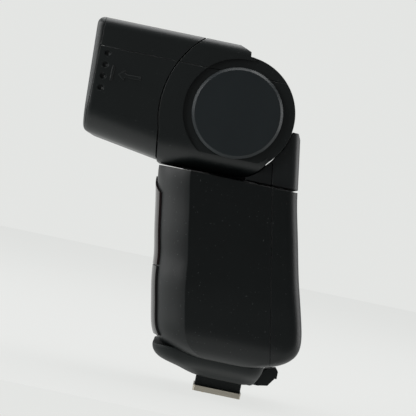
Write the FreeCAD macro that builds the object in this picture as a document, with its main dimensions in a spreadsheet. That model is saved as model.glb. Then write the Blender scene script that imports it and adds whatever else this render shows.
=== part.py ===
import FreeCAD, Part
import math
import os
import re
import Sketcher
from FreeCAD import Placement, Rotation, Vector

# Speedlight flash.  Origin: centre of the underside of the hot-shoe foot.
# +Z points up through the body, light leaves the head along -Y.  Millimetres.

doc = FreeCAD.newDocument("Speedlight")
sheet = doc.addObject("Spreadsheet::Sheet", "Dims")
values = {}
titles = []


def dims(title, **entries):
    """Write one block of driving dimensions into the sheet."""
    row = len(values) + len(titles) + 1
    sheet.set(f"A{row}", title)
    titles.append(title)
    for name, value in entries.items():
        row += 1
        sheet.set(f"A{row}", name)
        sheet.set(f"B{row}", str(value))
        sheet.setAlias(f"B{row}", name)
        values[name] = value


dims("Joint centres", tilt_height=103.0, swivel_setback=-13.7)
dims("Body casing", case_wall=1.8, case_skin=0.8, front_corner=18.5, rear_corner=4.5,
     front_crease=20.0,
     roof_thick=2.0, floor_height=13.0, bottom_round=10.0,
     case_half=33.0, seam_gap=0.15, seam_lean=11.04, seam_foot_y=16.3, seam_foot_z=16.6)
dims("Head", head_half=34.0, head_inner_half=32.2, head_top=127.5, head_bottom=80.3,
     head_split=117.0, drum_radius=20.9, neck_drum_radius=18.2, slot_half=23.0, cheek_wall=1.4,
     edge_round_low=11.0, edge_round_top=3.5, rim_round=2.6, heel_round=14.0,
     heel_round_inside=12.2, sleeve_round=8.0, sleeve_round_inside=6.8,
     seam_centre_y=-7.4, seam_centre_z=101.5, seam_radius=34.5, seam_half_gap=0.2)
dims("Pivot", cap_radius=16.5, cap_back=33.2, cap_thick=1.8, recess_radius=19.6,
     recess_floor=33.0, axle_radius=6.0, axle_bore=6.05)
dims("Neck", neck_half=22.2, neck_base=80.2, saddle_half=30.4, fin_half=31.0,
     fin_clear=21.2, spigot_radius=12.6, spigot_bore=12.65, cable_bore=6.0)
dims("Hot shoe", shoe_width=18.6, shoe_length=18.0, shoe_thick=2.0, post_width=12.4,
     post_top=5.6, pin_radius=0.8)
dims("Battery", cell_radius=7.25, cell_length=50.5, cell_pitch=14.7, cells_y=-1.55, cells_z=38.1,
     hinge_x=-33.0, hinge_z=21.6)
dims("Controls", button_radius=3.2, button_bore=3.25, lamp_radius=2.2)


def val(name):
    return values[name]


def formula(text):
    """Turn plain dimension words into references to the sheet."""
    if not isinstance(text, str):
        return repr(float(text))
    return re.sub(r"(?<![.\w])[a-z_]{3,}", lambda m: "Dims." + m.group(0) if m.group(0) in values
                  else m.group(0), text)


def number(text):
    """Value of a number, or of a sum of dimensions and numbers."""
    if not isinstance(text, str):
        return float(text)
    total = 0.0
    for sign, word in re.findall(r"([+-]?)\s*([a-z_]+|[0-9.]+)", text):
        size = values[word] if word in values else float(word)
        total += -size if sign == "-" else size
    return total


def bind(obj, prop, text):
    obj.setExpression(prop, formula(text))


def seat(obj, x, y, z, turn=None):
    """Put an object at a bound position, turned by a fixed rotation."""
    if turn is not None:
        obj.Placement = Placement(Vector(), turn)
    for axis, text in zip("xyz", (x, y, z)):
        bind(obj, f"Placement.Base.{axis}", text)
    return obj


def block(name, xs, ys, zs):
    """Box between pairs of bound coordinates."""
    obj = doc.addObject("Part::Box", name)
    for prop, (low, high) in zip(("Length", "Width", "Height"), (xs, ys, zs)):
        bind(obj, prop, f"({formula(high)}) - ({formula(low)})")
    return seat(obj, xs[0], ys[0], zs[0])


TURN = {"x": Rotation(Vector(0, 1, 0), 90), "y": Rotation(Vector(1, 0, 0), -90),
        "z": Rotation(), "-x": Rotation(Vector(0, 1, 0), -90)}


def rod(name, axis, at, radius, length):
    """Cylinder that starts at a point and runs along an axis."""
    obj = doc.addObject("Part::Cylinder", name)
    bind(obj, "Radius", radius)
    bind(obj, "Height", length)
    return seat(obj, *at, turn=TURN[axis])


def cone(name, axis, at, radius, radius_end, length):
    obj = doc.addObject("Part::Cone", name)
    bind(obj, "Radius1", radius)
    bind(obj, "Radius2", radius_end)
    bind(obj, "Height", length)
    return seat(obj, *at, turn=TURN[axis])


def ball(name, at, radius):
    obj = doc.addObject("Part::Sphere", name)
    bind(obj, "Radius", radius)
    return seat(obj, *at)


def fuse(name, *parts):
    obj = doc.addObject("Part::MultiFuse", name)
    obj.Shapes = list(parts)
    obj.Refine = True
    return obj


def common(name, *parts):
    obj = doc.addObject("Part::MultiCommon", name)
    obj.Shapes = list(parts)
    return obj


def cut(name, base, *tools):
    obj = doc.addObject("Part::Cut", name)
    obj.Base = base
    obj.Tool = tools[0] if len(tools) == 1 else fuse(name + "_tools", *tools)
    return obj


def mirror(name, source):
    """The same piece on the other side of the flash."""
    obj = doc.addObject("Part::Mirroring", name)
    obj.Source = source
    obj.Base = Vector(0, 0, 0)
    obj.Normal = Vector(1, 0, 0)
    return obj


def profile(name, points, half, x_low=None):
    """Side outline (y, z) pushed out along X, to both sides or from x_low by half."""
    sk = doc.addObject("Sketcher::SketchObject", name + "_outline")
    sk.Placement = Placement(Vector(), Rotation(Vector(1, 1, 1), 120))
    spots = [Vector(number(y), number(z), 0) for y, z in points]
    count = len(spots)
    for i in range(count):
        sk.addGeometry(Part.LineSegment(spots[i], spots[(i + 1) % count]), False)
    for i in range(count):
        sk.addConstraint(Sketcher.Constraint("Coincident", i, 2, (i + 1) % count, 1))
    for i, (y, z) in enumerate(points):
        for kind, text in (("DistanceX", y), ("DistanceY", z)):
            size = number(text)
            index = sk.addConstraint(Sketcher.Constraint(kind, -1, 1, i, 1, size))
            if isinstance(text, str):
                sk.setExpression(f"Constraints[{index}]", formula(text))
    obj = doc.addObject("Part::Extrusion", name)
    obj.Base = sk
    obj.DirMode = "Normal"
    obj.Solid = True
    if x_low is None:
        bind(obj, "LengthFwd", f"2 * ({formula(half)})")
        obj.Symmetric = True
    else:
        bind(obj, "LengthFwd", half)
        seat(obj, x_low, 0, 0)
    return obj


def rounded(name, base, radius, chosen):
    """Round the edges picked by a test on their middle point and direction."""
    doc.recompute()
    obj = doc.addObject("Part::Fillet", name)
    obj.Base = base
    picks = []
    for i, edge in enumerate(base.Shape.Edges, 1):
        if edge.Length < 0.05:
            continue
        middle = edge.valueAt((edge.FirstParameter + edge.LastParameter) / 2)
        ends = [v.Point for v in edge.Vertexes]
        along = (ends[-1] - ends[0]).normalize() if len(ends) > 1 else Vector()
        if chosen(middle, along):
            picks.append((i, val(radius), val(radius)))
    obj.Edges = picks
    return obj


def plan_section(name, height, front, rear, half, r_front, r_rear, crease=0.0):
    """Rounded rectangle seen from above; its front corners may meet the sides in a crease."""
    sk = doc.addObject("Sketcher::SketchObject", name)
    sk.Placement = Placement(Vector(0, 0, height), Rotation())
    in_x = r_front * math.cos(math.radians(crease))
    corners = ((half - in_x, front + r_front, r_front, -90, -crease),
               (half - r_rear, rear - r_rear, r_rear, 0, 90),
               (r_rear - half, rear - r_rear, r_rear, 90, 180),
               (in_x - half, front + r_front, r_front, 180 + crease, 270))
    arcs = [Part.ArcOfCircle(Part.Circle(Vector(x, y, 0), Vector(0, 0, 1), r),
                             math.radians(first), math.radians(last))
            for x, y, r, first, last in corners]
    for i in range(4):
        sk.addGeometry(arcs[i], False)
        sk.addGeometry(Part.LineSegment(arcs[i].EndPoint, arcs[(i + 1) % 4].StartPoint), False)
    for i in range(8):
        creased = crease > 0 and i in (0, 5)
        kind = "Coincident" if creased else "Tangent"
        sk.addConstraint(Sketcher.Constraint(kind, i, 2, (i + 1) % 8, 1))
    sk.addConstraint(Sketcher.Constraint("Radius", 0, r_front))
    sk.addConstraint(Sketcher.Constraint("Radius", 2, r_rear))
    sk.addConstraint(Sketcher.Constraint("Equal", 0, 6))
    sk.addConstraint(Sketcher.Constraint("Equal", 2, 4))
    return sk


def loft(name, sections):
    obj = doc.addObject("Part::Loft", name)
    obj.Sections = sections
    obj.Solid = True
    obj.Ruled = False
    return obj


nodes = {}


def node(label, obj):
    """Name a finished piece; its label is also its file name."""
    obj.Label = label
    nodes[label] = obj
    return obj


# ---------------------------------------------------------------- casing forms
# height, front face, rear face of the bare casing, from the roof down to the floor
STATIONS = (
    ("roof", 79.3, -38.0, 13.6), ("shoulder", 72.0, -37.0, 15.0), ("chest", 64.0, -35.5, 16.9),
    ("waist", 54.0, -33.8, 19.2), ("hip", 43.0, -32.1, 22.0), ("seat", 33.0, -30.6, 24.7),
    ("thigh", 27.0, -29.4, 25.9), ("knee", 22.8, -28.5, 25.7), ("calf", 19.0, -27.1, 23.4),
    ("ankle", 16.2, -24.8, 19.2), ("heel", 14.2, -21.8, 13.6), ("sole", 13.2, -18.8, 8.6))
dims("Casing stations", **{f"{word}_{what}": size for word, z, front, rear in STATIONS
                          for what, size in (("level", z), ("front", front), ("back", rear))})


def width_at(level, floor, radius, half):
    """Half width of the casing where its bottom edge rounds in."""
    rise = min(max(level - floor, 0.0), radius)
    return half - radius + (radius ** 2 - (radius - rise) ** 2) ** 0.5


def casing_form(name, inset):
    """Leaning casing volume, grown or shrunk evenly by inset."""
    half = val("case_half") - inset
    floor = val("floor_height") + inset
    radius = val("bottom_round") - inset
    sections = []
    for word, z, front, rear in STATIONS:
        level = z
        if word == "roof" and inset > 0:
            level = z - val("roof_thick")
        if z < 20.0:
            level = z + inset * (20.0 - z) / (20.0 - val("floor_height"))
        wide = width_at(level, floor, radius, half)
        sections.append(plan_section(f"{name}_{word}", level, front + inset, rear - inset, wide,
                                     val("front_corner") - inset, val("rear_corner") - inset,
                                     val("front_crease")))
    return loft(name, sections)


outer = casing_form("casing_outer", 0.0)
inner = casing_form("casing_inner", val("case_wall"))
skin = casing_form("casing_skin", -val("case_skin"))
recess_form = casing_form("casing_recess", 0.9)
plate_form = casing_form("casing_plate", 0.5)

# --------------------------------------------------------------- casing halves
def behind_seam(name, gap):
    """Half-space to the rear of the leaning seam between the two casing halves."""
    lean = Rotation(Vector(1, 0, 0), val("seam_lean"))
    foot = Placement(Vector(-50, val("seam_foot_y") + gap, val("seam_foot_z")), lean)
    obj = block(name, (-50, 50), (0, 60), (0, 130))
    for axis in "xyz":
        obj.setExpression(f"Placement.Base.{axis}", None)
    obj.Placement = foot.multiply(Placement(Vector(0, 0, -40), Rotation()))
    return obj


behind = behind_seam("behind_seam", 0.0)
behind_gap = behind_seam("behind_seam_gap", val("seam_gap"))
shell = cut("casing_shell", outer, inner)
door_hole = block("door_hole", (-36, -28), (-16.8, 13.8), (23.1, 53.4))
hinge_pockets = [rod(f"hinge_pocket_{i}", "y", ("hinge_x", y, "hinge_z"), 1.95, 6.6)
                 for i, y in enumerate((-12.3, 2.7))]
lug = rod("hinge_lug", "y", ("hinge_x", -5.4, "hinge_z"), 1.55, 7.8)
lug_foot = block("hinge_lug_foot", ("hinge_x", -31.4), (-5.4, 2.4), (20.0, "hinge_z"))
pin_bore = rod("hinge_pin_bore", "y", ("hinge_x", -13.6, "hinge_z"), 0.85, 24.2)
swivel_bore = rod("swivel_bore", "z", (0, "swivel_setback", 70), "spigot_bore", 12)
lamp_window = block("lamp_window_hole", (-19, 19), (-45, -25), (49, 69))
sensor_hole = rod("sensor_hole", "y", (0, -40, 36), 3.2, 14)
floor_screw_spots = ((-11, -14.5), (11, -14.5), (11.5, 10.0))
floor_bores = [rod(f"floor_bore_{i}", "z", (x, y, 10), 1.05, 12)
               for i, (x, y) in enumerate(floor_screw_spots)]
front_form = cut("front_form", shell, behind)
front_lugged = fuse("front_with_lug", cut("front_open", front_form, door_hole, *hinge_pockets),
                    lug, lug_foot)
node("front_casing", cut("front_casing_solid", front_lugged, pin_bore, swivel_bore, lamp_window,
                         sensor_hole, *floor_bores))


def rear_seat(x, z):
    """Placement on the sloping rear face: local Y points out, local Z up the face."""
    levels = sorted((level, rear) for word, level, front, rear in STATIONS)
    for (z0, y0), (z1, y1) in zip(levels, levels[1:]):
        if z0 <= z <= z1:
            y = y0 + (y1 - y0) * (z - z0) / (z1 - z0)
            angle = math.degrees((y0 - y1) / (z1 - z0))
    return Placement(Vector(x, y, z), Rotation(Vector(1, 0, 0), angle))


def rear_box(name, x, z, wide, tall, inward, outward):
    obj = doc.addObject("Part::Box", name)
    bind(obj, "Length", wide)
    bind(obj, "Width", inward + outward)
    bind(obj, "Height", tall)
    obj.Placement = rear_seat(x, z).multiply(
        Placement(Vector(-wide / 2, -inward, -tall / 2), Rotation()))
    return obj


def rear_rod(name, x, z, radius, inward, outward):
    obj = doc.addObject("Part::Cylinder", name)
    bind(obj, "Radius", radius)
    bind(obj, "Height", inward + outward)
    obj.Placement = rear_seat(x, z).multiply(Placement(Vector(0, -inward, 0), TURN["y"]))
    return obj


button_hole = rear_rod("button_hole", -20, 66, "button_bore", 4, 4)
lamp_hole = rear_rod("lamp_hole", -9, 66, "lamp_radius + 0.05", 4, 4)
power_slot = rear_box("power_slot", 18, 67, 13, 4.4, 4, 4)
mode_slot = rear_box("mode_slot", 18, 57.5, 16, 4.4, 4, 4)
neck_relief = rod("rear_swivel_relief", "z", (0, "swivel_setback", 70), "spigot_bore", 12)
recess_zone = rounded("panel_zone", block("panel_zone_box", (-26.5, 26.5), (5, 40), (27.5, 74.6)),
                      "edge_round_top", lambda p, d: abs(d.y) > 0.9)
rear_form = cut("rear_form", common("rear_half", shell, behind_gap),
                cut("panel_recess", recess_zone, recess_form))
node("rear_cover", cut("rear_cover_solid", rear_form, button_hole, lamp_hole, power_slot,
                       mode_slot, neck_relief, door_hole))

# ----------------------------------------------------- front window and panels
arch = fuse("window_arch", block("window_plain", (-23.4, 23.4), (-48, -20), (43.3, 69.0)),
            common("window_crown", rod("window_crown_disc", "y", (0, -48, 25.3), 50, 28),
                   block("window_crown_box", (-23.4, 23.4), (-48, -20), (68.9, 79))))
node("front_window", cut("front_window_solid", common("window_blank", skin, arch), outer))
lower_blank = common("lower_blank", skin, block("lower_zone", (-23.4, 23.4), (-48, -20),
                                                (18.2, 42.9)))
sensor_eye_hole = rod("sensor_eye_hole", "y", (0, -40, 36), 3.2, 14)
node("front_lower_panel", cut("front_lower_solid", lower_blank, outer, sensor_eye_hole))
node("sensor_window", rod("sensor_window_disc", "y", (0, -31.6, 36), 3.1, 2.3))
node("exposure_scale", cut("scale_solid", common("scale_blank", plate_form,
     block("scale_zone", (-23, 23), (5, 40), (30, 50))), recess_form))

# ------------------------------------------------------------ rear panel parts
button = fuse("test_button_solid", rear_rod("button_stem", -20, 66, "button_radius", 2.6, -0.1),
              rear_rod("button_flange", -20, 66, 4.0, 3.4, -2.4))
node("test_button", button)
node("ready_lamp", rear_rod("ready_lamp_solid", -9, 66, "lamp_radius", 3.0, -0.4))
for label, x, z, travel in (("power_switch", 18 - 2.5, 67, 5.0), ("mode_switch", 18 - 4, 57.5, 8.0)):
    knob = rear_box(label + "_knob", x, z, 7.0, 4.2, 2.4, -0.1)
    carrier = rear_box(label + "_carrier", x, z, 9.0, 7.0, 3.2, -2.05)
    node(label, fuse(label + "_solid", knob, carrier))

# ------------------------------------------------------------------ base block
BASE_LEVELS = (("rim", 15.0, -27.0, 15.0, 24.4), ("lip", 12.8, -26.5, 14.8, 24.0),
               ("bowl", 10.4, -24.2, 14.2, 22.0), ("belly", 8.6, -19.6, 13.6, 18.6),
               ("taper", 7.0, -14.2, 12.8, 16.0), ("pad", 5.9, -10.4, 11.4, 13.4))
base_form = loft("base_form", [plan_section(f"base_{word}", z, front, rear, half, 9.0, 5.0)
                               for word, z, front, rear, half in BASE_LEVELS])
lever_chamber = rod("lever_chamber", "z", (0, 0, 5.0), 12.6, 5.2)
lever_window = block("lever_window", (-14.5, 5.5), (4, 30), (5.0, 15.0))
head_wells = [rod(f"screw_well_{i}", "z", (x, y, 4), 2.3, 7.4)
              for i, (x, y) in enumerate(floor_screw_spots)]
shank_wells = [rod(f"shank_well_{i}", "z", (x, y, 4), 1.15, 14)
               for i, (x, y) in enumerate(floor_screw_spots)]
base_room = block("base_room", (-8, 8), (-8, 8), (10.0, 16.0))
node("base_block", cut("base_block_solid", base_form, outer, lever_chamber, lever_window,
                       base_room, *head_wells, *shank_wells))
screws = []
for i, (x, y) in enumerate(floor_screw_spots):
    head = rod(f"base_screw_head_{i}", "z", (x, y, 10.0), 2.0, 1.4)
    shank = rod(f"base_screw_shank_{i}", "z", (x, y, 11.4), 1.0, 6.4)
    slots = [block(f"base_screw_slot_{i}_{k}", (x - a, x + a), (y - b, y + b), (9.8, 10.7))
             for k, (a, b) in enumerate(((1.2, 0.25), (0.25, 1.2)))]
    screws.append(cut(f"base_screw_{i}", fuse(f"base_screw_blank_{i}", head, shank), *slots))
base_screws = doc.addObject("Part::Compound", "base_screws_set")
base_screws.Links = screws
node("base_screws", base_screws)

# -------------------------------------------------------------------- hot shoe
pin_spots = ((0, 0), (-4.6, -5.2), (4.6, -5.2), (-4.6, 2.6))
plate = block("foot_plate_blank", ("shoe_width * -0.5", "shoe_width * 0.5"),
              ("shoe_length * -0.5", "shoe_length * 0.5"), (0, "shoe_thick"))
plate_soft = rounded("foot_plate_soft", plate, "pin_radius",
                     lambda p, d: abs(d.z) > 0.9)
pin_bores = [rod(f"pin_bore_{i}", "z", (x, y, -1), 0.86, 8) for i, (x, y) in
             enumerate(pin_spots)]
lock_bore = rod("lock_bore", "z", (0, 7.0, -1), 1.0, 9)
node("foot_plate", cut("foot_plate_solid", plate_soft, lock_bore, *pin_bores))
post = block("foot_post_blank", ("post_width * -0.5", "post_width * 0.5"), (-8.6, 8.6),
             ("shoe_thick", "post_top"))
post_head = rod("foot_post_head", "z", (0, 0, 5.5), 9.0, 4.6)
post_key = block("foot_post_key", (-7.9, 7.9), (-7.9, 7.9), (10.0, 12.9))
node("foot_post", cut("foot_post_solid", fuse("foot_post_joined", post, post_head, post_key),
                      block("post_core", (-4.4, 4.4), (-3.6, 3.6), (8.0, 13.0)),
                      lock_bore, *pin_bores))
for word, (x, y) in zip(("centre", "front_left", "front_right", "rear_left"), pin_spots):
    node(f"contact_{word}", fuse(f"contact_{word}_solid",
                                 rod(f"contact_{word}_shank", "z", (x, y, 0.3), "pin_radius", 5.0),
                                 ball(f"contact_{word}_tip", (x, y, 0.3), "pin_radius")))
node("lock_pin", rod("lock_pin_solid", "z", (0, 7.0, 0.6), 0.95, 5.0))
ring = cut("lever_ring", rod("lever_disc", "z", (0, 0, 6.1), 12.2, 1.6),
           rod("lever_bore", "z", (0, 0, 5), 9.08, 5))
arm = block("lever_arm", (-4.2, 4.2), (10.4, 15.0), (6.1, 8.6))
thumb = profile("lever_thumb", ((14.2, 6.1), (18.2, 6.8), (20.3, 9.8), (21.0, 12.8), (20.2, 13.7),
                                (16.4, 12.8), (14.6, 10.4)), 4.6)
ribs = [block(f"lever_rib_{i}", (-4.4 + 2.1 * i, -3.9 + 2.1 * i), (19.9, 21.1), (9.9, 12.6))
        for i in range(5)]
node("lock_lever", fuse("lock_lever_solid", ring, arm, thumb, *ribs))

# --------------------------------------------------------- battery compartment
cell_spots = [("cells_y - cell_pitch * 0.5", "cells_z - cell_pitch * 0.5"),
              ("cells_y + cell_pitch * 0.5", "cells_z - cell_pitch * 0.5"),
              ("cells_y - cell_pitch * 0.5", "cells_z + cell_pitch * 0.5"),
              ("cells_y + cell_pitch * 0.5", "cells_z + cell_pitch * 0.5")]
cell_solids = []
for i, (y, z) in enumerate(cell_spots):
    can = rod(f"cell_can_{i}", "x", (-27.6, y, z), "cell_radius", "cell_length")
    tip = rod(f"cell_tip_{i}", "x" if i % 2 else "-x",
              ((-27.6 + 50.5) if i % 2 else -27.6, y, z), 2.6, 1.1)
    cell_solids.append(fuse(f"cell_{i}", can, tip))
cells = doc.addObject("Part::Compound", "cell_set")
cells.Links = cell_solids
node("aa_cells", cells)
tray_outer = block("tray_outer", (-30.2, 26.4), ("cells_y - 16.0", "cells_y + 16.0"),
                   ("cells_z - 16.0", "cells_z + 16.0"))
tray_inner = block("tray_inner", (-35, 25.2), ("cells_y - 14.9", "cells_y + 14.9"),
                   ("cells_z - 14.9", "cells_z + 14.9"))
node("battery_tray", cut("battery_tray_solid", tray_outer, tray_inner))
springs = []
for i, (y, z) in enumerate(cell_spots):
    springs.append(cone(f"contact_cone_{i}", "x", (24.2 if i % 2 else 23.1, y, z), 2.4, 3.6,
                        0.9 if i % 2 else 2.0))
inner_contacts = doc.addObject("Part::Compound", "inner_contacts_set")
inner_contacts.Links = springs
node("battery_contacts", inner_contacts)

# ---------------------------------------------------------------- battery door
door_plate = block("door_plate", ("hinge_x", -31.2), (-16.5, 13.5), (23.4, 53.1))
knuckles = [rod(f"door_knuckle_{i}", "y", ("hinge_x", y, "hinge_z"), 1.6, 6.0)
            for i, y in enumerate((-12.0, 3.0))]
knuckle_webs = [block(f"door_web_{i}", (-34.15, -32.6), (y, y + 6.0), ("hinge_z", 24.2))
                for i, y in enumerate((-12.0, 3.0))]
grips = [block(f"door_grip_{i}", (-33.5, -32.9), (-8.0, 5.0), (44.0 + 1.6 * i, 44.8 + 1.6 * i))
         for i in range(4)]
door_pin_bore = rod("door_pin_bore", "y", ("hinge_x", -13.6, "hinge_z"), 0.85, 24.2)
node("battery_door", cut("battery_door_solid", fuse("door_joined", door_plate, *knuckles,
                                                    *knuckle_webs, *grips), door_pin_bore))
node("door_hinge_pin", rod("door_hinge_pin_solid", "y", ("hinge_x", -12.4, "hinge_z"), 0.8, 21.8))
node("door_contact_strip", block("door_strip", (-30.9, -30.3), (-13.6, 10.4), (26.0, 50.2)))

# ---------------------------------------------------- electronics in the body
node("main_capacitor", fuse("capacitor_solid", rod("capacitor_can", "x", (-28, -4.0, 65.2), 10.2, 54),
                            rod("capacitor_tail", "x", (26.0, -4.0, 65.2), 3.0, 2.2)))
node("power_board", block("power_board_solid", (-27, 27), (15.1, 16.7), (23.5, 50.0)))
node("control_board", block("control_board_solid", (-28, 28), (8.4, 9.8), (56.0, 75.0)))
core = block("inverter_core", (-9, 9), (-31.2, -18.8), (54.4, 68))
bobbin = rod("inverter_bobbin", "z", (0, -25.0, 52.6), 5.6, 17.2)
node("inverter_transformer", fuse("inverter_solid", core, bobbin))
node("sensor_cell", rod("sensor_cell_solid", "y", (0, -28.6, 36), 2.6, 5.0))
node("assist_lamp", fuse("assist_lamp_solid", rod("assist_can", "y", (13.5, -30.0, 60), 3.6, 7.0),
                         ball("assist_dome", (13.5, -30.0, 60), 3.5)))

# ------------------------------------------------------------------------ neck
drum = cut("neck_drum", rod("neck_drum_outer", "x", ("neck_half * -1", "swivel_setback",
                                                      "tilt_height"), "neck_drum_radius",
                            "neck_half * 2"),
           rod("neck_drum_hollow", "x", (-20.4, "swivel_setback", "tilt_height"), 16.4, 40.8))
hub = block("neck_hub", ("neck_half * -1", "neck_half"), (-29.6, 3.2), ("neck_base", "neck_base + 2.2"))
column = block("neck_column", ("neck_half * -1", "neck_half"), (-23.7, -3.7), (82.0, 90.0))
saddle = profile("neck_saddle", ((-5.9, "neck_base"), (3.7, "neck_base"), (2.4, 88.0), (-5.9, 88.0)),
                 "saddle_half")
bowl_block = rounded("bowl_heel", profile("bowl_block", ((-24, 79.9), (-3.47, 79.9), (3.95, 92.8),
                                                         (-10, 103), (-24, 103)), 35),
                     "heel_round", lambda p, d: abs(d.x) > 0.9 and p.z < 80 and p.y > -10)
bowl = fuse("neck_bowl", bowl_block, rod("bowl_drum", "x", (-35, "swivel_setback", "tilt_height"),
                                         "fin_clear", 70))
saddle_cut = cut("neck_saddle_cut", saddle, bowl)
spigot = rod("neck_spigot", "z", (0, "swivel_setback", 75.55), "spigot_radius", 4.8)
axle_bores = rod("neck_axle_bore", "x", (-30, "swivel_setback", "tilt_height"), "axle_bore", 60)
cable_way = rod("neck_cable_way", "z", (0, "swivel_setback", 70), "cable_bore", 26)
neck_screw_spots = (-18, 18)
neck_bores = [rod(f"neck_bore_{i}", "y", (x, -4, 82.4), 0.95, 20)
              for i, x in enumerate(neck_screw_spots)]
tongue = block("neck_tongue", (-21.9, 21.9), (-4.0, 2.45), (82.0, 87.0))
node("neck_frame", cut("neck_frame_solid", fuse("neck_joined", drum, hub, column, saddle_cut,
                                                tongue, spigot),
                       axle_bores, cable_way, *neck_bores))
fin = profile("neck_fin", ((3.9, "neck_base"), (13.6, "neck_base"), (10.7, 98.2), (9.6, 100.4),
                           (5.0, 100.4), (-2.0, 90.0), (2.6, 88.0)), "fin_half")
fin_soft = rounded("neck_fin_soft", fin, "edge_round_top",
                   lambda p, d: abs(abs(p.x) - val("fin_half")) < 0.1 and p.y > 11.5
                   and abs(d.z) > 0.9)
fin_clear_bores = [rod(f"fin_bore_{i}", "y", (x, 2, 82.4), 1.1, 20)
                   for i, x in enumerate(neck_screw_spots)]
fin_heads = [rod(f"fin_head_{i}", "y", (x, 11.6, 82.4), 2.1, 6)
             for i, x in enumerate(neck_screw_spots)]
node("neck_rear_cover", cut("neck_rear_solid", fin_soft, bowl, *fin_clear_bores, *fin_heads))
neck_screw_solids = [fuse(f"neck_screw_{i}", rod(f"neck_screw_shank_{i}", "y", (x, -2.6, 82.4),
                                                 0.9, 14.4),
                          rod(f"neck_screw_head_{i}", "y", (x, 11.7, 82.4), 1.9, 1.2))
                     for i, x in enumerate(neck_screw_spots)]
neck_screws = doc.addObject("Part::Compound", "neck_screw_set")
neck_screws.Links = neck_screw_solids
node("neck_screws", neck_screws)
node("swivel_retainer", cut("swivel_retainer_solid",
     rod("retainer_disc", "z", (0, "swivel_setback", 75.6), 16.0, 1.3),
     rod("retainer_bore", "z", (0, "swivel_setback", 75), "spigot_bore", 3)))
axle = fuse("axle_right_form", rod("axle_shank", "x", (19.0, "swivel_setback", "tilt_height"),
                                   "axle_radius", 14.15),
            rod("axle_collar", "x", (19.0, "swivel_setback", "tilt_height"), 8.0, 1.35))
axle_hollow = cut("axle_right_solid", axle, rod("axle_hollow", "x", (18, "swivel_setback",
                                                                     "tilt_height"), 3.0, 20))
node("tilt_axle_right", axle_hollow)
node("tilt_axle_left", mirror("axle_left_solid", axle_hollow))
cap_disc = rod("cap_disc", "x", ("cap_back", "swivel_setback", "tilt_height"), "cap_radius",
               "cap_thick")
cap_form = doc.addObject("Part::Chamfer", "cap_chamfered")
cap_form.Base = cap_disc
doc.recompute()
cap_form.Edges = [(i, 1.0, 1.0) for i, e in enumerate(cap_disc.Shape.Edges, 1)
                  if len(e.Vertexes) == 1 and e.Vertexes[0].X > 34.9]
node("pivot_cap_right", cap_form)
node("pivot_cap_left", mirror("cap_left_solid", cap_form))
washer = cut("washer_form", rod("washer_disc", "x", (22.3, "swivel_setback", "tilt_height"), 11.0,
                                0.5),
             rod("washer_bore", "x", (22, "swivel_setback", "tilt_height"), 6.1, 2))
node("tilt_washer_right", washer)
node("tilt_washer_left", mirror("washer_left_solid", washer))

# ------------------------------------------------------------------ head forms
seam_rear = rod("seam_rear_arc", "x", (-40, "seam_centre_y", "seam_centre_z"),
                "seam_radius - seam_half_gap", 80)
seam_front = rod("seam_front_arc", "x", (-40, "seam_centre_y", "seam_centre_z"),
                 "seam_radius + seam_half_gap", 80)
rear_low = profile("rear_low_zone", ((-41.0, 98.5), (-38.8, 79.0), (20, 79.0), (20, 98.5)), 40)
front_low = profile("front_low_zone", ((-41.5, 98.5), (-39.3, 79.0), (20, 79.0), (20, 98.5)), 40)
rear_zone = fuse("rear_zone", seam_rear, rear_low)
front_zone = fuse("front_zone", seam_front, front_low)


def rear_section(name, half, inset, radii):
    """Fixed part of the head: block over the pivot blended into the rear drum."""
    heel_radius, low_radius, top_radius = radii
    floor = f"head_bottom + {inset}"
    top = f"head_top - {inset}"
    sides = profile(name + "_block", ((-46, floor), (-3.7 - inset, floor), (3.6 - inset, 93.0),
                                      (-10.0, 103.0), (-13.2, 125.6 - inset),
                                      (-17.5 - inset * 0.5, top), (-46, top)), half)
    heel = rounded(name + "_heel", sides, heel_radius,
                   lambda p, d: abs(d.x) > 0.9 and abs(p.z - number(floor)) < 0.3 and p.y > -10)
    drum_part = rod(name + "_drum", "x", (f"{half} * -1", "swivel_setback", "tilt_height"),
                    f"drum_radius - {inset}", f"2 * {half}")
    across = block(name + "_across", (f"{half} * -1", half), (-60, 20), (floor, top))
    low = rounded(name + "_low", across, low_radius, lambda p, d: abs(d.y) > 0.9 and p.z < 90)
    tops = rounded(name + "_tops", low, top_radius, lambda p, d: abs(d.y) > 0.9 and p.z > 120)
    return common(name + "_form", fuse(name + "_joined", heel, drum_part), tops)


rear_outer = rear_section("rear_outer", "head_half", 0.0,
                          ("heel_round", "edge_round_low", "edge_round_top"))
rear_inner = rear_section("rear_inner", "head_inner_half", 1.8,
                          ("heel_round_inside", "bottom_round", "case_wall"))
above_split = block("above_split", (-60, 60), (-90, 40), ("head_split + 0.08", 140))
below_split = block("below_split", (-60, 60), (-90, 40), (60, "head_split - 0.08"))

rear_block = common("rear_block", rear_outer, rear_zone)
slot = block("neck_slot", ("slot_half * -1", "slot_half"), (-33.6, 20), (70, "head_split"))
neck_clear = rod("neck_clearance", "x", ("slot_half * -1", "swivel_setback", "tilt_height"), 18.5,
                 "slot_half * 2")
front_cavity = common("front_cavity", rear_inner, block("front_cavity_zone", (-40, 40), (-60, -35.0),
                                                        (70, 130)))
cheek_cavities = [common(f"cheek_cavity_{side}", rear_inner,
                         block(f"cheek_zone_{side}", xs, (-35.1, 20), (70, 130)))
                  for side, xs in (("right", ("slot_half + cheek_wall", 31.2)),
                                   ("left", (-31.2, "(slot_half + cheek_wall) * -1")))]
attic = common("attic", rear_inner, block("attic_zone", (-31.2, 31.2), (-35.1, -15.0),
                                          ("head_split", 130)))
recess = rod("recess_right", "x", ("recess_floor", "swivel_setback", "tilt_height"),
             "recess_radius", 4)
recess_run = profile("recess_run", (("swivel_setback", "tilt_height"), (-11, 127.5), (14, 127.5),
                                    (14, 75.3)), 4, "recess_floor")
recess_left = mirror("recess_left", recess)
recess_run_left = mirror("recess_run_left", recess_run)
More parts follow.
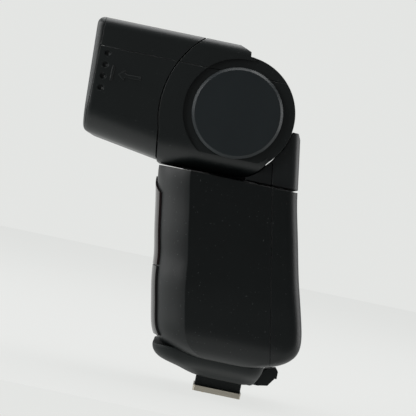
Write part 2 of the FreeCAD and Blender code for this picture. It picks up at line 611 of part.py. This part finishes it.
axle_way = rod("axle_way", "x", (-40, "swivel_setback", "tilt_height"), 6.08, 80)
hollow = cut("rear_hollow", rear_block, front_cavity, *cheek_cavities, attic, slot, neck_clear,
             recess, recess_left, recess_run, recess_run_left, axle_way)
boss_spots = ((-28.0, -24.6), (28.0, -24.6))
shelves = [block(f"screw_shelf_{i}", (x - 3.9, x + 3.9), (-28.2, -21.0), (106.0, 109.0))
           for i, (x, y) in enumerate(boss_spots)]
towers = [rod(f"screw_tower_{i}", "z", (x, y, "head_split"), 2.9, 9.0)
          for i, (x, y) in enumerate(boss_spots)]
shelf_bores = [rod(f"shelf_bore_{i}", "z", (x, y, 104), 1.25, 7.0)
               for i, (x, y) in enumerate(boss_spots)]
tower_bores = [rod(f"tower_bore_{i}", "z", (x, y, 115), 1.12, 8.4)
               for i, (x, y) in enumerate(boss_spots)]
bossed = cut("rear_bossed", fuse("rear_boss_joined", hollow, *shelves, *towers),
             *shelf_bores, *tower_bores)
node("head_upper_shell", common("head_upper_solid", bossed, above_split))
node("head_lower_shell", common("head_lower_solid", bossed, below_split))
head_screw_solids = [fuse(f"head_screw_{i}",
                          rod(f"head_screw_shank_{i}", "z", (x, y, 105.0), 1.1, 18.0),
                          rod(f"head_screw_head_{i}", "z", (x, y, 104.4), 2.0, 1.5))
                     for i, (x, y) in enumerate(boss_spots)]
head_screws = doc.addObject("Part::Compound", "head_screw_set")
head_screws.Links = head_screw_solids
node("head_screws", head_screws)


def zoom_section(name, half, inset, low, top):
    """Sliding front of the head: a box whose floor rises toward the lens."""
    shape = profile(name + "_box", ((-25, 81.4 + inset), (-39.2, 81.4 + inset),
                                    (-67.8, 86.0 + inset), (-69.9, f"head_top - {inset}"),
                                    (-25, f"head_top - {inset}")), half)
    lower = rounded(name + "_low", shape, low,
                    lambda p, d: abs(abs(p.x) - number(half)) < 0.1 and p.z < 86.2 + inset
                    and abs(d.y) > 0.9)
    return rounded(name + "_form", lower, top,
                   lambda p, d: abs(abs(p.x) - number(half)) < 0.1 and p.z > 127.3 - inset
                   and abs(d.y) > 0.9)


zoom_box = zoom_section("zoom_outer", "head_half", 0.0, "edge_round_low", "edge_round_top")
zoom_outer = rounded("zoom_rimmed", zoom_box, "rim_round",
                     lambda p, d: p.y < -67.0 and abs(d.y) < 0.2)
zoom_inner = zoom_section("zoom_inner", "head_inner_half", 1.8, "bottom_round", "case_wall")
rim_back = block("rim_back", (-40, 40), (-66.95, 0), (60, 140))
rim_front = block("rim_front", (-40, 40), (-80, -67.05), (60, 140))
grip_dots = [ball(f"grip_dot_{k}_{i}", (x, -63.9, z), 1.2)
             for k, x in enumerate((-34.3, 34.3)) for i, z in enumerate((114.7, 110.5, 106.3, 102.1))]
zoom_ready = cut("zoom_ready", common("zoom_solid", zoom_outer, rim_back), zoom_inner, front_zone,
                 *grip_dots)
# raised direction mark on each side: a bar and an arrow that points to the lens
mark_bar = block("mark_bar", (-34.25, 34.25), (-61.2, -60.4), (105.3, 110.6))
mark_arrow = profile("mark_arrow", ((-58.6, 107.95), (-56.2, 106.1), (-56.2, 107.4),
                                    (-50.4, 107.4), (-50.4, 108.5), (-56.2, 108.5),
                                    (-56.2, 109.8)), "head_half + 0.25")
marks = cut("zoom_marks", fuse("mark_forms", mark_bar, mark_arrow),
            block("mark_core", (-33.5, 33.5), (-70, -40), (100, 115)))
node("zoom_upper_shell", common("zoom_upper_solid", zoom_ready, above_split))
node("zoom_lower_shell", fuse("zoom_lower_marked", common("zoom_lower_solid", zoom_ready,
                                                          below_split), marks))

# ------------------------------------------------------------ lens and bezel
bezel_opening = rounded("bezel_opening_soft", block("bezel_opening", (-29.6, 29.6), (-80, -60),
                                                    (90.4, 121.8)), "edge_round_top",
                        lambda p, d: abs(d.y) > 0.9)
node("lens_bezel", cut("lens_bezel_solid", common("bezel_slice", zoom_outer, rim_front),
                       bezel_opening))
lens_form = zoom_section("lens_form", "head_inner_half - 0.1", 1.9, "bottom_round", "case_wall")
lens_plate = common("lens_plate", lens_form, block("lens_zone", (-40, 40), (-66.9, -65.2),
                                                   (60, 140)))
grooves = [profile(f"lens_groove_{i}", ((-65.1, 92.6 + 2.6 * i), (-65.9, 95.0 + 2.6 * i),
                                        (-65.1, 95.15 + 2.6 * i)), 28.5) for i in range(10)]
node("fresnel_lens", cut("fresnel_solid", lens_plate, *grooves))

# --------------------------------------------------------------- light engine
sleeve_outer = rounded("sleeve_outer_soft", block("sleeve_outer", (-30.6, 30.6), (-59.8, -36.6),
                                                  (87.6, 123.6)), "sleeve_round",
                       lambda p, d: abs(d.y) > 0.9 and p.z < 90)
sleeve_inner = rounded("sleeve_inner_soft", block("sleeve_inner", (-29.4, 29.4), (-61, -30),
                                                  (88.8, 122.4)), "sleeve_round_inside",
                       lambda p, d: abs(d.y) > 0.9 and p.z < 90)
node("zoom_sleeve", cut("zoom_sleeve_solid", sleeve_outer, sleeve_inner))
trough_out = profile("trough_outer", ((-58.5, 91.0), (-52.0, 93.0), (-45.0, 97.6), (-40.6, 102.4),
                                      (-40.6, 108.8), (-45.0, 113.6), (-52.0, 118.6),
                                      (-58.5, 120.2)), 27.4)
trough_in = profile("trough_inner", ((-59.0, 91.8), (-52.2, 94.0), (-45.5, 98.4), (-41.6, 102.9),
                                     (-41.6, 108.3), (-45.5, 112.8), (-52.2, 117.6),
                                     (-59.0, 119.4)), 26.6)
tube_way = rod("tube_way", "x", (-32, -44.4, 105.6), 2.2, 64)
node("reflector", cut("reflector_solid", trough_out, trough_in, tube_way))
node("flash_tube", rod("flash_tube_solid", "x", (-26.0, -44.4, 105.6), 2.0, 52))
end_forms = [cut(f"tube_end_{i}", block(f"tube_end_blank_{i}", xs, (-47.4, -41.4), (102.6, 108.6)),
                 trough_out) for i, xs in enumerate(((-28.2, -27.45), (27.45, 28.2)))]
tube_ends = doc.addObject("Part::Compound", "tube_end_set")
tube_ends.Links = end_forms
node("tube_end_plates", tube_ends)
node("trigger_coil", rod("trigger_coil_solid", "y", (28.0, -24.0, 90.0), 2.6, 12.0))
node("head_board", block("head_board_solid", (-27, 27), (-36.3, -35.2), (90, 115)))
node("click_spring", block("click_spring_solid", (-5, 5), (-56, -44), (123.7, 124.1)))

# ---------------------------------------------------------------- check, write
doc.recompute()
faulty = [obj.Label for obj in doc.Objects if "Invalid" in obj.State or "Error" in obj.State]
if faulty:
    raise RuntimeError(f"not computed: {faulty}")
os.makedirs("parts", exist_ok=True)
for label, obj in nodes.items():
    shape = obj.Shape
    if shape.isNull() or not shape.isValid() or shape.Volume <= 0:
        raise RuntimeError(f"{label} has no sound solid")
    shape.exportStep(f"parts/{label}.step")
    print(label, len(shape.Solids), round(shape.Volume, 1))
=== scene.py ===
import math

import bpy
from mathutils import Matrix, Vector

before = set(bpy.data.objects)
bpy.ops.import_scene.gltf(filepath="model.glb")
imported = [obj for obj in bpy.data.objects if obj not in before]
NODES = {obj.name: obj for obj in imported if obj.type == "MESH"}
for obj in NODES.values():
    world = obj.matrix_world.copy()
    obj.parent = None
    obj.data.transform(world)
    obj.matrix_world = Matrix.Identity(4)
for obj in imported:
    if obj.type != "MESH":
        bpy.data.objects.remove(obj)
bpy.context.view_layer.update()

MM = 0.001
ROOM = (0.775, 0.785, 0.770)            # the pale backdrop, as the camera sees it
MIX_FACTOR, MIX_A, MIX_B = 0, 6, 7      # colour sockets of the Mix node
MIX_RESULT = 2
scene = bpy.context.scene


# ------------------------------------------------------------------ materials
def shader_nodes(name):
    mat = bpy.data.materials.new(name)
    mat.use_nodes = True
    tree = mat.node_tree
    return mat, tree, tree.nodes["Principled BSDF"]


def link(tree, a, out, b, into):
    tree.links.new(a.outputs[out], b.inputs[into])


def noise(tree, coords, scale, detail=2.0, rough=0.5):
    tex = tree.nodes.new("ShaderNodeTexNoise")
    tex.inputs["Scale"].default_value = scale
    tex.inputs["Detail"].default_value = detail
    tex.inputs["Roughness"].default_value = rough
    link(tree, coords, "Object", tex, "Vector")
    return tex


def ramp(tree, source, out, stops):
    node = tree.nodes.new("ShaderNodeValToRGB")
    ends = node.color_ramp.elements
    while len(ends) < len(stops):
        ends.new(0.5)
    for end, (at, colour) in zip(ends, stops):
        end.position = at
        end.color = (*colour, 1.0)
    link(tree, source, out, node, "Fac")
    return node


def grey(value):
    return (value, value, value)


def mix_colour(tree, fac, a, b, mode="MIX"):
    """Mix a and b by fac, each a plain value or a (node, output) pair; gives such a pair."""
    node = tree.nodes.new("ShaderNodeMix")
    node.data_type = "RGBA"
    node.blend_type = mode
    if isinstance(fac, tuple):
        link(tree, *fac, node, MIX_FACTOR)
    else:
        node.inputs[MIX_FACTOR].default_value = fac
    for socket, value in ((MIX_A, a), (MIX_B, b)):
        if isinstance(value[0], bpy.types.Node):
            link(tree, *value, node, socket)
        else:
            node.inputs[socket].default_value = (*value, 1.0)
    return node, MIX_RESULT


SOFT_EDGE = 0.35 * MM                   # radius that moulded edges are shaded with
DUST = (0.16, 0.17, 0.17)
GRAIN_HEIGHT = 0.1 * MM


def moulded(name, base, rough, grain=2600.0, bump=0.12, speck=0.0, blotch=0.05, wear=0.0,
            specular=0.5):
    """Moulded plastic: fine spark-eroded grain, faint blotches, pale specks and rubbed edges."""
    mat, tree, bsdf = shader_nodes(name)
    coords = tree.nodes.new("ShaderNodeTexCoord")
    cloud = noise(tree, coords, 60.0, 4.0, 0.6)
    low = tuple(c * (1 - blotch) for c in base)
    high = tuple(c * (1 + blotch) for c in base)
    colour = (ramp(tree, cloud, "Fac", ((0.35, low), (0.65, high))), "Color")
    if speck > 0:
        dust = noise(tree, coords, 1500.0, 1.0, 0.5)
        dots = ramp(tree, dust, "Fac", ((0.735, grey(0.0)), (0.80, grey(speck))))
        colour = mix_colour(tree, (dots, "Color"), colour, DUST)
    soft = tree.nodes.new("ShaderNodeBevel")
    soft.samples = 4
    soft.inputs["Radius"].default_value = SOFT_EDGE
    if wear > 0:
        geometry = tree.nodes.new("ShaderNodeNewGeometry")
        scratch = noise(tree, coords, 420.0, 3.0, 0.7)
        turn = tree.nodes.new("ShaderNodeVectorMath")
        turn.operation = "DOT_PRODUCT"
        link(tree, soft, "Normal", turn, 0)
        link(tree, geometry, "Normal", turn, 1)
        edge = ramp(tree, turn, "Value", ((0.80, grey(wear)), (0.97, grey(0.0))))
        patch = ramp(tree, scratch, "Fac", ((0.45, grey(0.0)), (0.62, grey(1.0))))
        both = mix_colour(tree, 1.0, (edge, "Color"), (patch, "Color"), "MULTIPLY")
        rubbed = tuple(min(1, c * 4 + 0.02) for c in base)
        colour = mix_colour(tree, both, colour, rubbed)
    link(tree, *colour, bsdf, "Base Color")
    sheen = noise(tree, coords, 35.0, 5.0, 0.65)
    gloss = ramp(tree, sheen, "Fac", ((0.3, grey(rough - 0.02)), (0.7, grey(rough + 0.02))))
    link(tree, gloss, "Color", bsdf, "Roughness")
    grains = noise(tree, coords, grain, 2.0, 0.6)
    relief = tree.nodes.new("ShaderNodeBump")
    relief.inputs["Strength"].default_value = bump
    relief.inputs["Distance"].default_value = GRAIN_HEIGHT
    link(tree, grains, "Fac", relief, "Height")
    link(tree, soft, "Normal", relief, "Normal")
    link(tree, relief, "Normal", bsdf, "Normal")
    bsdf.inputs["Specular IOR Level"].default_value = specular
    return mat


STREAKS = 900.0


def metal(name, base, rough):
    """Drawn or milled metal with fine streaks and slight tarnish."""
    mat, tree, bsdf = shader_nodes(name)
    coords = tree.nodes.new("ShaderNodeTexCoord")
    stretch = tree.nodes.new("ShaderNodeMapping")
    stretch.inputs["Scale"].default_value = (1.0, 0.06, 1.0)
    link(tree, coords, "Object", stretch, "Vector")
    lines = tree.nodes.new("ShaderNodeTexNoise")
    lines.inputs["Scale"].default_value = STREAKS
    lines.inputs["Detail"].default_value = 3.0
    link(tree, stretch, "Vector", lines, "Vector")
    tone = ramp(tree, lines, "Fac", ((0.3, tuple(c * 0.82 for c in base)), (0.7, base)))
    link(tree, tone, "Color", bsdf, "Base Color")
    gloss = ramp(tree, lines, "Fac", ((0.3, grey(rough + 0.1)), (0.7, grey(rough))))
    link(tree, gloss, "Color", bsdf, "Roughness")
    bsdf.inputs["Metallic"].default_value = 1.0
    return mat


def clear(name, tint, rough=0.08, alpha=0.25):
    """Clear or tinted moulded plastic or glass."""
    mat, tree, bsdf = shader_nodes(name)
    coords = tree.nodes.new("ShaderNodeTexCoord")
    haze = noise(tree, coords, 90.0, 4.0)
    tone = ramp(tree, haze, "Fac", ((0.3, tuple(c * 0.94 for c in tint)), (0.7, tint)))
    link(tree, tone, "Color", bsdf, "Base Color")
    gloss = ramp(tree, haze, "Fac", ((0.3, grey(rough)), (0.7, grey(rough + 0.05))))
    link(tree, gloss, "Color", bsdf, "Roughness")
    bsdf.inputs["IOR"].default_value = 1.49
    bsdf.inputs["Alpha"].default_value = alpha
    return mat


GRID_CELL = (5.8 * MM, 3.6 * MM)        # width and height of one cell of the printed table
GRID_LINE = 0.10 * MM


def ruled_panel(name):
    """Glossy dark panel printed with a plain pale grid, like a distance and aperture table."""
    mat, tree, bsdf = shader_nodes(name)
    coords = tree.nodes.new("ShaderNodeTexCoord")
    turn = tree.nodes.new("ShaderNodeMapping")
    turn.inputs["Rotation"].default_value = (math.radians(-90), 0.0, 0.0)
    link(tree, coords, "Object", turn, "Vector")
    grid = tree.nodes.new("ShaderNodeTexBrick")
    grid.offset = 0.0
    grid.inputs["Scale"].default_value = 1.0
    grid.inputs["Brick Width"].default_value = GRID_CELL[0]
    grid.inputs["Row Height"].default_value = GRID_CELL[1]
    grid.inputs["Mortar Size"].default_value = GRID_LINE
    grid.inputs["Mortar Smooth"].default_value = 0.0
    grid.inputs["Color1"].default_value = (0.010, 0.010, 0.011, 1)
    grid.inputs["Color2"].default_value = (0.013, 0.013, 0.014, 1)
    grid.inputs["Mortar"].default_value = (0.16, 0.17, 0.17, 1)
    link(tree, turn, "Vector", grid, "Vector")
    link(tree, grid, "Color", bsdf, "Base Color")
    haze = noise(tree, coords, 120.0, 4.0)
    gloss = ramp(tree, haze, "Fac", ((0.3, grey(0.22)), (0.7, grey(0.30))))
    link(tree, gloss, "Color", bsdf, "Roughness")
    return mat


def printed_board(name):
    """Green lacquered board with paler tracks."""
    mat, tree, bsdf = shader_nodes(name)
    coords = tree.nodes.new("ShaderNodeTexCoord")
    cells = tree.nodes.new("ShaderNodeTexBrick")
    cells.inputs["Scale"].default_value = 260.0
    cells.inputs["Color1"].default_value = (0.010, 0.055, 0.022, 1)
    cells.inputs["Color2"].default_value = (0.014, 0.075, 0.030, 1)
    cells.inputs["Mortar"].default_value = (0.05, 0.16, 0.06, 1)
    cells.inputs["Mortar Size"].default_value = 0.03
    link(tree, coords, "Object", cells, "Vector")
    link(tree, cells, "Color", bsdf, "Base Color")
    haze = noise(tree, coords, 200.0)
    gloss = ramp(tree, haze, "Fac", ((0.3, grey(0.3)), (0.7, grey(0.42))))
    link(tree, gloss, "Color", bsdf, "Roughness")
    return mat


casing = moulded("casing_plastic", (0.0060, 0.0082, 0.0084), 0.42, speck=0.5, wear=0.4,
                 specular=0.34)
head_black = moulded("head_plastic", (0.0100, 0.0135, 0.0135), 0.42, speck=0.4, wear=0.4)
cap_black = moulded("cap_plastic", (0.0200, 0.0270, 0.0300), 0.40, grain=4200, bump=0.05, wear=0.3)
neck_black = moulded("neck_plastic", (0.0100, 0.0130, 0.0135), 0.42, speck=0.3, wear=0.4)
inner_black = moulded("inner_plastic", (0.012, 0.012, 0.012), 0.55, bump=0.06)
slate = moulded("base_plastic", (0.0065, 0.0092, 0.0092), 0.52, grain=1900, bump=0.2, wear=0.4,
                specular=0.25)
gloss_black = moulded("panel_gloss", (0.010, 0.010, 0.010), 0.20, bump=0.01, wear=0.2)
window_red = moulded("window_gloss", (0.014, 0.0065, 0.0065), 0.12, bump=0.0)
control_black = moulded("control_plastic", (0.018, 0.018, 0.019), 0.5, bump=0.1, wear=0.6)
white_plastic = moulded("white_plastic", (0.62, 0.62, 0.58), 0.5, bump=0.05, blotch=0.04)
wrap = moulded("cell_sleeve", (0.02, 0.025, 0.06), 0.25, bump=0.0)
sleeve = moulded("capacitor_sleeve", (0.012, 0.013, 0.02), 0.3, bump=0.0)
ferrite = moulded("ferrite", (0.04, 0.04, 0.042), 0.6)
plate_metal = metal("foot_plate_metal", (0.42, 0.39, 0.33), 0.3)
steel = metal("steel", (0.55, 0.55, 0.54), 0.28)
gold = metal("contact_gold", (0.85, 0.62, 0.28), 0.22)
mirror = metal("reflector_mirror", (0.88, 0.88, 0.88), 0.06)
lens_clear = clear("lens_clear", (0.86, 0.90, 0.89), 0.07, 0.34)
tube_glass = clear("tube_glass", (0.92, 0.93, 0.94), 0.04, 0.4)
amber = clear("lamp_amber", (0.75, 0.20, 0.03), 0.12, 0.8)
dark_eye = clear("sensor_eye", (0.05, 0.012, 0.02), 0.08, 0.85)
board = printed_board("board_lacquer")
scale_print = ruled_panel("scale_print")

FINISH = {
    casing: ("front_casing", "rear_cover", "battery_door"),
    head_black: ("head_upper_shell", "head_lower_shell", "zoom_upper_shell", "zoom_lower_shell",
                 "lens_bezel"),
    cap_black: ("pivot_cap_right", "pivot_cap_left"),
    neck_black: ("neck_frame", "neck_rear_cover"),
    inner_black: ("zoom_sleeve", "battery_tray"),
    slate: ("base_block", "lock_lever", "foot_post"),
    gloss_black: ("front_lower_panel",),
    scale_print: ("exposure_scale",),
    window_red: ("front_window", "sensor_window"),
    control_black: ("test_button", "power_switch", "mode_switch"),
    white_plastic: ("tilt_washer_right", "tilt_washer_left", "tube_end_plates"),
    wrap: ("aa_cells",),
    sleeve: ("main_capacitor",),
    ferrite: ("inverter_transformer", "trigger_coil"),
    plate_metal: ("foot_plate",),
    steel: ("base_screws", "neck_screws", "head_screws", "swivel_retainer", "tilt_axle_right",
            "tilt_axle_left", "door_hinge_pin", "lock_pin", "click_spring", "battery_contacts"),
    gold: ("contact_centre", "contact_front_left", "contact_front_right", "contact_rear_left",
           "door_contact_strip"),
    mirror: ("reflector",),
    lens_clear: ("fresnel_lens",),
    tube_glass: ("flash_tube",),
    amber: ("ready_lamp", "assist_lamp"),
    dark_eye: ("sensor_cell",),
    board: ("power_board", "control_board", "head_board"),
}
for material, names in FINISH.items():
    for name in names:
        piece = NODES[name]
        for holder in piece.material_slots:
            holder.material = material
        if not piece.material_slots:
            piece.data.materials.append(material)


# ---------------------------------------------------------------- stage, view
def look(obj, target, roll=0.0):
    way = (Vector(target) - obj.location).normalized()
    turn = way.to_track_quat("-Z", "Y").to_matrix().to_4x4()
    obj.rotation_mode = "QUATERNION"
    obj.rotation_quaternion = (turn @ Matrix.Rotation(math.radians(roll), 4, "Z")).to_quaternion()


DISTANCE = 0.75                         # camera to the near side of the casing, metres
VIEW_WIDTH = 0.1498                     # metres seen across the picture at that distance
SENSOR_WIDTH = 36.0
ROLL = 11.8                             # degrees; the photograph shows the flash leaning
AIM = Vector((34.0, -17.1, 67.4)) * MM
camera = bpy.data.objects.new("camera", bpy.data.cameras.new("camera"))
scene.collection.objects.link(camera)
scene.camera = camera
camera.location = AIM + Vector((DISTANCE, 0.0, 0.0))
camera.data.sensor_width = SENSOR_WIDTH
camera.data.lens = SENSOR_WIDTH * DISTANCE / VIEW_WIDTH
camera.data.clip_start = 0.01
look(camera, AIM, roll=ROLL)

LIGHTS_AIM = (0.0, -0.017, 0.07)        # about the middle of the flash


def soft_light(name, place, size, power):
    lamp = bpy.data.lights.new(name, "AREA")
    lamp.shape = "RECTANGLE"
    lamp.size, lamp.size_y = size
    lamp.energy = power
    obj = bpy.data.objects.new(name, lamp)
    scene.collection.objects.link(obj)
    obj.location = Vector(place)
    look(obj, LIGHTS_AIM)


soft_light("overhead", (-0.20, -0.02, 0.80), (0.9, 0.9), 7.0)
soft_light("front_fill", (-0.12, -0.9, 0.22), (0.6, 0.8), 4.5)
soft_light("corner_fill", (0.42, -0.80, 0.34), (0.35, 0.7), 3.2)
soft_light("rear_fill", (-0.15, 0.9, 0.25), (0.7, 0.7), 3.9)

# The room: the camera sees it pale all round, and the flash is lit by it more dimly from +X,
# which is the camera's side.
world = bpy.data.worlds.new("pale_room")
scene.world = world
world.use_nodes = True
tree = world.node_tree
back = tree.nodes["Background"]
back.inputs["Color"].default_value = (*ROOM, 1)
back.inputs["Strength"].default_value = 1.0
coords = tree.nodes.new("ShaderNodeTexCoord")
split = tree.nodes.new("ShaderNodeSeparateXYZ")
link(tree, coords, "Generated", split, "Vector")
shift = tree.nodes.new("ShaderNodeMath")
shift.operation = "MULTIPLY_ADD"
shift.inputs[1].default_value = 0.5
shift.inputs[2].default_value = 0.5
link(tree, split, "X", shift, 0)
shade = ramp(tree, shift, "Value", ((0.0, grey(0.55)), (0.50, grey(0.35)), (0.72, grey(0.12)),
                                    (1.0, grey(0.12))))
dim = tree.nodes.new("ShaderNodeBackground")
link(tree, shade, "Color", dim, "Color")
dim.inputs["Strength"].default_value = 1.0
path = tree.nodes.new("ShaderNodeLightPath")
pick = tree.nodes.new("ShaderNodeMixShader")
link(tree, path, "Is Camera Ray", pick, 0)
link(tree, dim, "Background", pick, 1)
link(tree, back, "Background", pick, 2)
link(tree, pick, "Shader", tree.nodes["World Output"], "Surface")

# The paper under the flash ends a little past it on the camera's side.
FLOOR_X = (-1.6, 0.11)
FLOOR_Y = (-1.2, 1.2)
FLOOR_TOP = -0.7 * MM                   # just clear of the contact pins, which reach -0.5 mm
floor_mesh = bpy.data.meshes.new("floor")
floor_mesh.from_pydata([(FLOOR_X[0], FLOOR_Y[0], 0), (FLOOR_X[1], FLOOR_Y[0], 0),
                        (FLOOR_X[1], FLOOR_Y[1], 0), (FLOOR_X[0], FLOOR_Y[1], 0)], [],
                       [(0, 1, 2, 3)])
floor = bpy.data.objects.new("floor", floor_mesh)
floor.location.z = FLOOR_TOP
scene.collection.objects.link(floor)
mat, tree, bsdf = shader_nodes("floor_paper")
bsdf.inputs["Base Color"].default_value = (*grey(0.07), 1)
bsdf.inputs["Roughness"].default_value = 0.9
bsdf.inputs["Specular IOR Level"].default_value = 0.0
bsdf.inputs["Emission Color"].default_value = (*ROOM, 1)
bsdf.inputs["Emission Strength"].default_value = 0.92
floor_mesh.materials.append(mat)

scene.view_settings.view_transform = "Standard"
